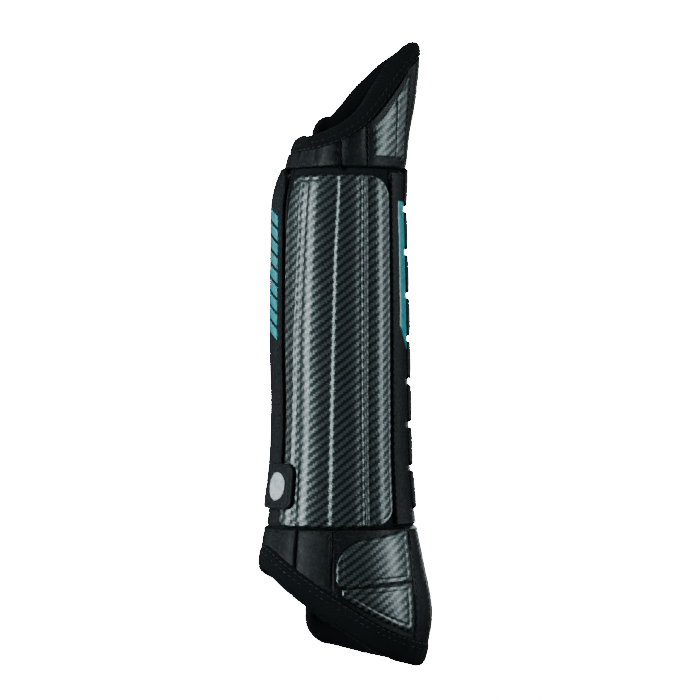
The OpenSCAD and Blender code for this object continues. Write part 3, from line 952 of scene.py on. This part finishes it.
def upper_hi(a):
    a = np.asarray(a, float)
    return GUARD_TOP - 9 + 0.12 * (a - PAD_START) - corner(arc(a, PAD_START), 14)


def lower_lo(a):
    return bottom_rim(a) + BOTTOM_W * steep(a) + 1.6


def lower_hi(a):
    return np.maximum(pad_seam(a) - 2.6, lower_lo(a) + 0.3)


def pad(name, a0, lo, hi, tall, node_name):
    def relief(a, z, gap):
        rim = np.clip(gap / 2.4, 0, 1)
        crown = tall * (0.45 + 0.55 * rolled_edge(gap, 2.4)) + 0.3 * np.clip(gap / 9, 0, 1)
        return PAD_IN + crown - 0.35 * dent(gap - 3.4, 0.6) + 0.055 * twill_height(a, z) * rim

    piece = panel(name, a0, PAD_END, lo, hi, (0.6, 0.7), PAD_IN, relief)
    finish_piece(piece, twill, "shell", node_name, slot="twill_plate")


pad("Fetlock_pad_upper", PAD_START, upper_lo, upper_hi, 1.9, "fetlock_pad_upper")
pad("Fetlock_pad_lower", PAD_START + 5, lower_lo, lower_hi, 1.5, "fetlock_pad_lower")

# %% [markdown]
# ## Collar
# Above the plate is a soft quilted collar. It is foam under thin leather cloth, sewn down along
# upright lines so that it swells between them, and piped where its two halves meet. A small
# twill patch covers its inner side, with its own seam down the middle.

# %% Collar
QUILT = np.array([136, 158, 182, 206, 231, 255, 282, 330, 352, 376, 398])


def collar_relief(a, z, gap):
    near = np.min(np.abs(np.asarray(a)[:, None] - QUILT[None, :]), axis=1) * DEGREE_MM
    swell = 0.75 * np.clip(gap / 7, 0, 1) * (1 - dent(near, 3.2))
    return swell - 0.75 * dent(near, 0.5) + 0.15 * ripple(a, z, 9) * np.clip(gap / 3, 0, 1)


cover("Collar", *SHELL_SIDES, level(COLLAR_BASE), under_top, collar_relief, "shell", "collar",
      cell=(0.9, 1.2), open_top=True, open_low=False)
cover("Wing_collar", *WING_SIDES, level(COLLAR_BASE), under_top, plain, "wing_bend",
      "wing_collar", open_top=True, open_low=False)

seams = [stitch_row("quilt", upright_seam(a + off, COLLAR_BASE + 2, float(under_top(a)) - 2, 2.1))
         for a in QUILT for off in (-1.6, 1.6) if float(under_top(a)) - COLLAR_BASE > 12]
seams.append(stitch_row("base", level_seam(120, 411, COLLAR_BASE + 2.4, 1.95, 300)))
finish_piece(one_piece("Collar_stitches", seams), thread, "shell")

piping = lay(cut_flat("Piping", 253.9, 256.1, level(COLLAR_BASE - 2), lambda a: under_top(a) + 0.5,
                      cell=(0.2, 1.5)), 1.6,
             lambda a, z: 1.7 + 1.5 * np.sqrt(np.clip(1 - ((a - 255) / 1.12) ** 2, 0, 1)))
finish_piece(piping, knit, "shell")

# %% [markdown]
# The patch's weave is the plate's. Its edge is turned under, and a seam parts it into a front
# and a back half.

# %% Collar patch
PATCH_START, PATCH_END = 288.0, 328.0


def patch_hi(a):
    return np.maximum(COLLAR_BASE + 7, under_top(a) - 3.2)


def patch_relief(a, z, gap):
    rim = np.clip(gap / 1.3, 0, 1)
    seam = dent((a - 313.5) * DEGREE_MM, 0.5)
    body = 0.9 + 0.5 * np.clip(gap / 8, 0, 1)
    return 2.3 + body * (0.4 + 0.6 * rim) - 0.7 * seam + 0.05 * twill_height(a, z) * rim


patch = panel("Collar_patch", PATCH_START, PATCH_END, level(COLLAR_BASE + 6), patch_hi,
              (0.6, 0.7), 2.0, patch_relief)
finish_piece(patch, twill, "shell", "collar_patch", slot="twill_plate")

# %% [markdown]
# ## Tendon strip, blocks and stripe
# Down the back runs a smooth strip with moulded rubber blocks, which let it flex with the leg.
# Each block is crowned and has rolled edges. A glossy stripe with a slanted tail lies beside
# them, under a clear film.

# %% Tendon strip
cover("Tendon_strip", 309.1, 397.6, PANEL_LO, PANEL_HI, plain, "shell", "tendon_strip",
      open_low=False)
cover("Flex_panel", 38.1, 63.8, PANEL_LO, PANEL_HI,
      lambda a, z, gap: 0.3 * np.cos(2 * np.pi * z / 3.2) * np.clip(gap / 3, 0, 1) - 0.3,
      "wing_bend", "flex_panel", cell=(1.2, 0.8), open_low=False)

BLOCK_N, BLOCK_SIDES, BLOCK_GAP, BLOCK_T = 8, (337.0, 383.0), 2.8, 1.5
BLOCK_LO = PLATE_LO + 9
BLOCK_PITCH = (PLATE_HI + 8 - BLOCK_LO) / BLOCK_N


def block_relief(a, z, gap):
    crown = BLOCK_T * (0.25 + 0.75 * rolled_edge(gap, 1.6))
    return 2.3 + crown + 0.35 * np.clip(gap / 8, 0, 1) - 0.18 * dent(gap - 3.2, 0.5)


blocks = []
for i in range(BLOCK_N):
    z0 = BLOCK_LO + i * BLOCK_PITCH
    box = rounded_box(*BLOCK_SIDES, z0, z0 + BLOCK_PITCH - BLOCK_GAP, (2.5, 2.5), (2.5, 2.5))
    blocks.append(panel("block", *BLOCK_SIDES, *box, (0.7, 0.6), 2.0, block_relief))
finish_piece(one_piece("Tendon_blocks", blocks), rubber, "shell", "tendon_blocks",
             slot="block_rubber")

# %% [markdown]
# The stripe is a film 0.4 mm thick. The strip's side seams are sewn beside it.

# %% Stripe and strip stitches
def stripe_lo(a):
    return PLATE_HI - 99 + 0.9 * (336 - np.asarray(a, float))


def stripe_relief(a, z, gap):
    return 2.15 + 0.12 * ripple(a, z, 12) + 0.5 * np.sqrt(np.clip(gap / 0.8, 0, 1))


stripe = panel("Tendon_stripe", 321, 336, stripe_lo, level(PLATE_HI - 14), (0.5, 0.9), 2.0,
               stripe_relief)
finish_piece(stripe, teal, "shell", "tendon_stripe", slot="teal_print")
seams = [stitch_row("side", upright_seam(a, PLATE_LO + 3, COLLAR_BASE - 4, 2.0, 200))
         for a in (311.4, 394.6)]
finish_piece(one_piece("Strip_stitches", seams), thread, "shell")

# %% [markdown]
# ## Front panels
# At the front the outer cloth is thin, with a wide field of loop tape that the flap's hooks
# grip. The panel beside it carries the smooth cover up to the bound edge.

# %% Front panels
cover("Front_edge_panel", SHELL_SIDES[0], FLAP_ROOT - 0.4, PANEL_LO, PANEL_HI, plain, "shell",
      "front_edge_panel", open_low=False)
cover("Front_panel", FLAP_ROOT, PLATE_START - 0.5, PANEL_LO, PANEL_HI, lambda a, z, gap: 0 * gap,
      "shell", "front_panel", open_low=False, thick=0.7)
FIELD = (153, 195)


def fuzz(a, z, gap):
    fibres = 0.06 * np.sin(a * 17.0) * np.sin(z * 9.0) + 0.05 * ripple(a, z, 2.2)
    return 1.1 + 0.5 * (0.5 + 0.5 * np.clip(gap / 0.8, 0, 1)) + fibres * np.clip(gap / 1.5, 0, 1)


field = panel("Front_loop_field", *FIELD, level(FLAP_LO + 4), level(FLAP_HI - 4), (0.9, 0.9),
              0.95, fuzz)
finish_piece(field, loops, "shell", "front_loop_field", slot="loop_tape")

cover("Wing_closing_panel", 86.7, WING_SIDES[1], PANEL_LO, PANEL_HI, plain, "wing",
      "wing_closing_panel", open_low=False)

# %% [markdown]
# ## Elastic straps
# Four wide straps of woven elastic tie the wing to the closing flap. The rubber cords inside
# raise narrow ribs along each strap, and its two edges are bound tighter. The sewn end on the
# wing lies under a short tape with a boxed cross of stitches.

# %% Straps
STRAP_N, STRAP_W = 4, 32.0
STRAP_IN, STRAP_OUT = 2.45, 3.85
STRAP_SIDES, ANCHOR_SIDES = (87.2, 148.4), (86.9, 91.3)
STRAP_PITCH = (FLAP_HI - FLAP_LO + 6) / STRAP_N


def anchor_relief(a, z, gap):
    return STRAP_OUT + 0.25 + 0.5 * np.sqrt(np.clip(gap / 0.7, 0, 1)) + 0.05 * ripple(a, z, 3)


anchors, boxes = [], []
for i in range(STRAP_N):
    z0 = FLAP_LO - 3 + STRAP_PITCH * (i + 0.5) - STRAP_W / 2
    z1 = z0 + STRAP_W

    def ribs(a, z):
        side = np.minimum(z - z0, z1 - z)
        rib = 0.14 * np.cos(2 * np.pi * (z - z0) / 2.0) * (side > 2.4)
        bound = 0.12 * (side < 2.4) - 0.5 * np.clip(1 - side / 0.8, 0, 1) ** 2
        return STRAP_OUT - 0.15 + rib + bound + 0.1 * np.sin(a / 2.1 + i)

    strap = lay(cut_flat(f"Strap_{i + 1}", *STRAP_SIDES, level(z0), level(z1), (1.6, 0.4)),
                STRAP_IN, ribs)
    finish_piece(strap, elastic, "strap_bend", f"strap_{i + 1}", slot="elastic_web")
    anchors.append(panel("anchor", *ANCHOR_SIDES, level(z0 - 1), level(z1 + 1), (0.35, 0.8), 2.0,
                         anchor_relief))
    corners = [(87.6, z0 + 1.5), (87.6, z1 - 1.5), (90.6, z0 + 1.5), (90.6, z1 - 1.5),
               (87.6, z0 + 1.5)]
    for (p, q), (r, s) in zip(corners, corners[1:]):
        line = np.stack([np.linspace(p, r, 24), np.linspace(q, s, 24), np.full(24, 4.6)], -1)
        if abs(q - s) > 1:
            boxes.append(stitch_row("box", line, 2.9, 2.2))
finish_piece(one_piece("Strap_anchors", anchors), knit, "wing", "strap_anchors",
             slot="elastic_web")
finish_piece(one_piece("Anchor_stitches", boxes), thread, "wing")

# %% [markdown]
# ## Closing flap
# The flap is a stiff synthetic with a turned edge and a row of stitches all round. Its root is
# sewn over the ends of the straps. On its inside is the hook tape.

# %% Flap
FLAP_IN, FLAP_OUT, FLAP_START = 2.65, 4.15, 143.6


def flap_lift(a):
    """The flap steps up over the straps' ends."""
    root = np.clip((152.5 - np.asarray(a, float)) / 3.5, 0, 1)
    return 1.4 * root * root * (3 - 2 * root)


flap_box = rounded_box(FLAP_START, FLAP_EDGE, FLAP_LO, FLAP_HI, (3, 9), (3, 12))


def flap_relief(a, z, gap):
    body = rounded(gap, FLAP_OUT - FLAP_IN, 1.0, 0.35) - 0.28 * dent(gap - 2.6, 0.45)
    swell = 0.2 * np.clip((gap - 3.2) / 3, 0, 1)
    return FLAP_IN + flap_lift(a) + body + swell + 0.08 * ripple(a, z, 24)


flap = panel("Closing_flap", FLAP_START, FLAP_EDGE, *flap_box, (0.8, 1.0),
             lambda a, z: FLAP_IN + flap_lift(a), flap_relief)
finish_piece(flap, flap_hide, "flap_bend", "closing_flap", slot="flap_synthetic")


def ring(a0, a1, lo, hi, inset, depth):
    """A seam that runs round a panel, in from its edge."""
    a = np.linspace(a0 + inset / DEGREE_MM, a1 - inset / DEGREE_MM, 90)
    wide = [(a0 + (v - a[0]) * (a1 - a0) / (a[-1] - a[0])) for v in a]
    low = np.stack([a, lo(np.array(wide)) + inset, depth(a)], -1)
    high = np.stack([a, hi(np.array(wide)) - inset, depth(a)], -1)[::-1]
    up = np.linspace(low[-1, 1], high[0, 1], 60)
    side = np.stack([np.full(60, a[-1]), up, np.full(60, depth(a[-1:])[0])], -1)
    down = np.linspace(high[-1, 1], low[0, 1], 60)
    back = np.stack([np.full(60, a[0]), down, np.full(60, depth(a[:1])[0])], -1)
    return np.concatenate([low, side, high, back])


seam = ring(FLAP_START, FLAP_EDGE, *flap_box, 2.6, lambda a: FLAP_OUT - 0.22 + flap_lift(a))
rows = [stitch_row("ring", seam, 3.4, 2.7)]
rows.append(stitch_row("root", upright_seam(148.8, FLAP_LO + 4, FLAP_HI - 4, 5.4, 120), 3.4, 2.7))
finish_piece(one_piece("Flap_stitches", rows), thread, "flap_bend")


HOOK_SIDES = (156, 193)
strip = panel("Flap_hook_strip", *HOOK_SIDES, level(FLAP_LO + 7), level(FLAP_HI - 12), (1.6, 2),
              lambda a, z: 1.98 + 0.1 * np.sin(a * 21) * np.sin(z * 5),
              lambda a, z, gap: 2.1 + 0.5 * np.clip(gap, 0, 1))
finish_piece(strip, hooks, "flap", "flap_hook_strip", slot="hook_tape")

# %% [markdown]
# A tab of the same stuff is sewn on the flap's lower end for the fingers to pull. It reaches
# past the flap's edge, over the corner of the strike plate.

# %% Flap tab
TAB_START, TAB_END, TAB_H = FLAP_EDGE - 16, FLAP_EDGE + 17, 26.0
TAB_IN, TAB_OUT = 4.35, 5.35


tab_box = rounded_box(TAB_START, TAB_END, FLAP_LO, FLAP_LO + TAB_H, (5, 5), (5, 5))


def tab_relief(a, z, gap):
    return (TAB_IN + rounded(gap, 1.0, 0.8, 0.3) - 0.2 * dent(gap - 2.2, 0.4)
            + 0.05 * ripple(a, z, 14))


tab = panel("Flap_tab", TAB_START, TAB_END, *tab_box, (0.5, 0.6), TAB_IN, tab_relief)
finish_piece(tab, flap_hide, "flap", "flap_tab", slot="flap_synthetic")
seam = ring(TAB_START, TAB_END, *tab_box, 2.2, lambda a: TAB_OUT - 0.15 + 0 * a)
finish_piece(stitch_row("Tab_stitches", seam, 3.0, 2.3), thread, "flap")

# %% [markdown]
# ## Prints on the flap
# The flap carries a column of slanted teal bars, and its tab a plain white oval badge.
# Both are thick screen prints, with a slightly raised, rounded edge.

# %% Prints
PRINT_T = 0.4
BAR_SIDES, BAR_N, BAR_PITCH = (176, 194), 9, 8


def bar_relief(a, z, gap):
    return FLAP_OUT + 0.24 + PRINT_T * np.sqrt(np.clip(gap / 0.6, 0.05, 1))


bars = []
for i in range(BAR_N):
    lo = lambda a: (FLAP_HI - 20 - (i + 1) * BAR_PITCH
                    - 0.35 * (np.asarray(a, float) - BAR_SIDES[0]))
    hi = lambda a: lo(a) + BAR_PITCH * 0.75
    bars.append(panel("bar", *BAR_SIDES, lo, hi, (0.4, 0.4), FLAP_OUT - 0.2, bar_relief))
finish_piece(one_piece("Flap_stripes", bars), teal, "flap", "flap_stripes", slot="teal_print")

BADGE_MID, BADGE_HALF, BADGE_Z = FLAP_EDGE + 1, 9.0, FLAP_LO + TAB_H / 2


def badge_rise(a):
    return 0.15 + 7.7 * np.sqrt(np.clip(1 - ((np.asarray(a, float) - BADGE_MID) / BADGE_HALF) ** 2,
                                        0, 1))


def badge_relief(a, z):
    r = np.hypot((a - BADGE_MID) / BADGE_HALF, (z - BADGE_Z) / 7.8)
    return TAB_OUT + 0.12 + PRINT_T * np.sqrt(np.clip((1 - r) * 12, 0.05, 1)) - 0.2 * dent(
        (r - 0.78) * 8, 0.35)


badge = lay(cut_flat("Flap_badge", BADGE_MID - BADGE_HALF, BADGE_MID + BADGE_HALF,
                     lambda a: BADGE_Z - badge_rise(a), lambda a: BADGE_Z + badge_rise(a),
                     cell=(0.35, 0.4)), TAB_OUT - 0.3, badge_relief)
finish_piece(badge, white, "flap", "flap_badge", slot="white_print")

# %% [markdown]
# ## Studio
# The boot stands on plain white paper. Two tall, narrow lights, at the left and the right of
# the camera, draw the long highlights down the flutes. A soft light comes from above, and three
# weak ones light the sides that the camera doesn't see. The camera looks level, 15 degrees off
# the boot's inner side, through a long lens. The paper glows, but casts no light on the boot.

# %% Stage, lights and camera
PAPER_GLOW = 60.0
clean_start()
bpy.ops.mesh.primitive_plane_add(size=12, location=(0, 0, -0.012))
floor = bpy.context.object
floor.name = "Floor"
paper, _, paper_shader = new_material("paper", 0.9)
paper_shader.inputs["Base Color"].default_value = (0.9, 0.9, 0.9, 1)
paper_shader.inputs["Emission Color"].default_value = (1, 1, 1, 1)
paper_shader.inputs["Emission Strength"].default_value = PAPER_GLOW
floor.data.materials.append(paper)

azimuth = np.radians(-15)
away = Vector((np.sin(azimuth), -np.cos(azimuth), 0))
clean_start()
bpy.ops.mesh.primitive_plane_add(size=1, location=-away * 2.2 + Vector((0, 0, 0.4)),
                                 rotation=(np.pi / 2, 0, azimuth), scale=(1, 1, 1))
backdrop = bpy.context.object
backdrop.name = "Backdrop"
backdrop.scale = (3.2, 2.6, 1)
glow, glow_tree, _ = new_material("backdrop_glow", 1.0)
lamp = node(glow_tree, "ShaderNodeEmission")
lamp.inputs["Color"].default_value = (1, 1, 1, 1)
lamp.inputs["Strength"].default_value = PAPER_GLOW
glow_tree.links.new(lamp.outputs[0], glow_tree.nodes["Material Output"].inputs["Surface"])
backdrop.data.materials.append(glow)
for paper_piece in (floor, backdrop):
    paper_piece.visible_diffuse = paper_piece.visible_glossy = False

world = bpy.data.worlds.new("Studio")
bpy.context.scene.world = world
world.use_nodes = True
sky = world.node_tree.nodes["Background"]
sky.inputs["Color"].default_value = (1, 1, 1, 1)
sky.inputs["Strength"].default_value = 0.05

CENTRE = Vector((0.0056, -0.0015, 0.182))


def area_light(name, azimuth, elevation, distance, size, power):
    a, e = np.radians(azimuth), np.radians(elevation)
    away = Vector((np.sin(a) * np.cos(e), -np.cos(a) * np.cos(e), np.sin(e)))
    bpy.ops.object.light_add(type="AREA", location=CENTRE + away * distance)
    light = bpy.context.object
    light.name = name
    light.data.shape = "RECTANGLE"
    light.data.size, light.data.size_y = size
    light.data.energy = power
    light.data.color = (0.86, 1.0, 1.03)
    light.rotation_euler = away.to_track_quat("Z", "Y").to_euler()


area_light("Key", -64, 2, 1.1, (0.10, 0.9), 14)
area_light("Strip", 55, 2, 1.1, (0.10, 0.9), 7)
area_light("Top", -15, 50, 1.4, (0.8, 0.5), 2)
area_light("Back_left", 150, 10, 1.5, (0.5, 1.2), 8)
area_light("Back_right", 95, 20, 1.5, (0.4, 1.2), 3)
area_light("Back_front", -130, 10, 1.5, (0.4, 1.2), 3)

bpy.ops.object.camera_add(location=CENTRE + away * 1.508)
camera = bpy.context.object
camera.rotation_euler = away.to_track_quat("Z", "Y").to_euler()
camera.data.lens, camera.data.sensor_width = 135, 36
bpy.context.scene.camera = camera
print("camera at", [round(v, 3) for v in camera.location])
